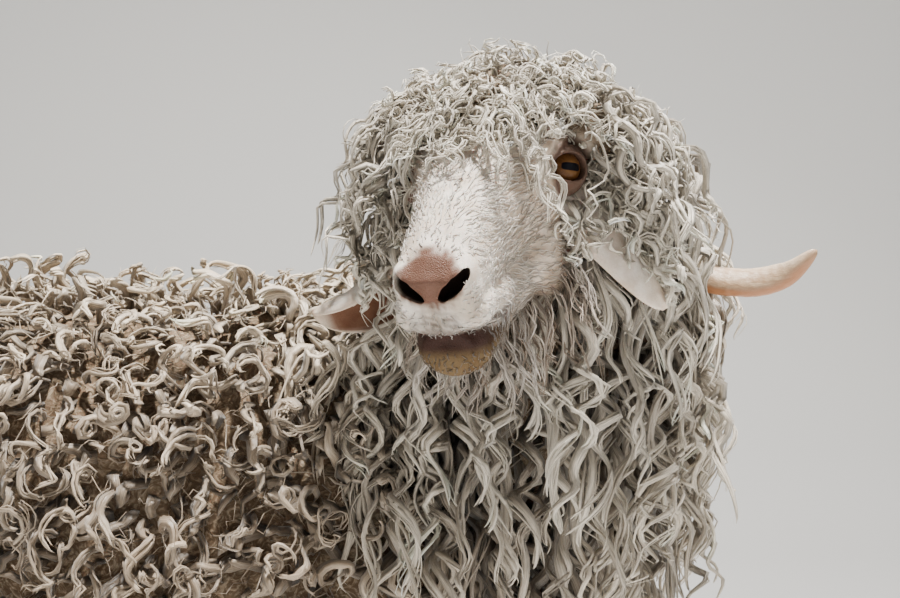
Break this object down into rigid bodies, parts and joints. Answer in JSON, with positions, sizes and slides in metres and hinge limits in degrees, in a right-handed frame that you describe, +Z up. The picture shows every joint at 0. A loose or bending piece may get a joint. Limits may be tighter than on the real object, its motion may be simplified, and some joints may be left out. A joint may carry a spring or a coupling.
{
  "type": "angora goat model",
  "caption": "Life-size still angora goat standing with its head turned to its right, with curved horns, drooping ears, ringleted neck and a matted mohair fleece.",
  "frame": {"origin": "on the floor under the middle of the whole goat's bounding box", "axes": "+X towards the chest along the body, +Y to the goat's left, +Z up"},
  "size_m": [1.074, 0.6056, 0.7748],
  "materials": {
    "fleece": "matted mohair curls",
    "face": "short white hair with bare pinkish-brown nose and lips",
    "ear": "thin hair over pinkish-brown skin",
    "horn": "tan horn with growth rings",
    "hoof": "dark horn",
    "eye": "wet, amber brown"
  },
  "bodies": {
    "root": {"torso": "fleece", "neck": "fleece", "tail": "fleece", "foreleg_left": "fleece", "foreleg_right": "fleece", "hindleg_left": "fleece", "hindleg_right": "fleece", "head": "face", "ear_left": "ear", "ear_right": "ear", "horn_left": "horn", "horn_right": "horn", "eye_left": "eye", "eye_right": "eye", "hoof_fore_left_inner": "hoof", "hoof_fore_left_outer": "hoof", "hoof_fore_right_inner": "hoof", "hoof_fore_right_outer": "hoof", "hoof_hind_left_inner": "hoof", "hoof_hind_left_outer": "hoof", "hoof_hind_right_inner": "hoof", "hoof_hind_right_outer": "hoof"}
  },
  "joints": []
}
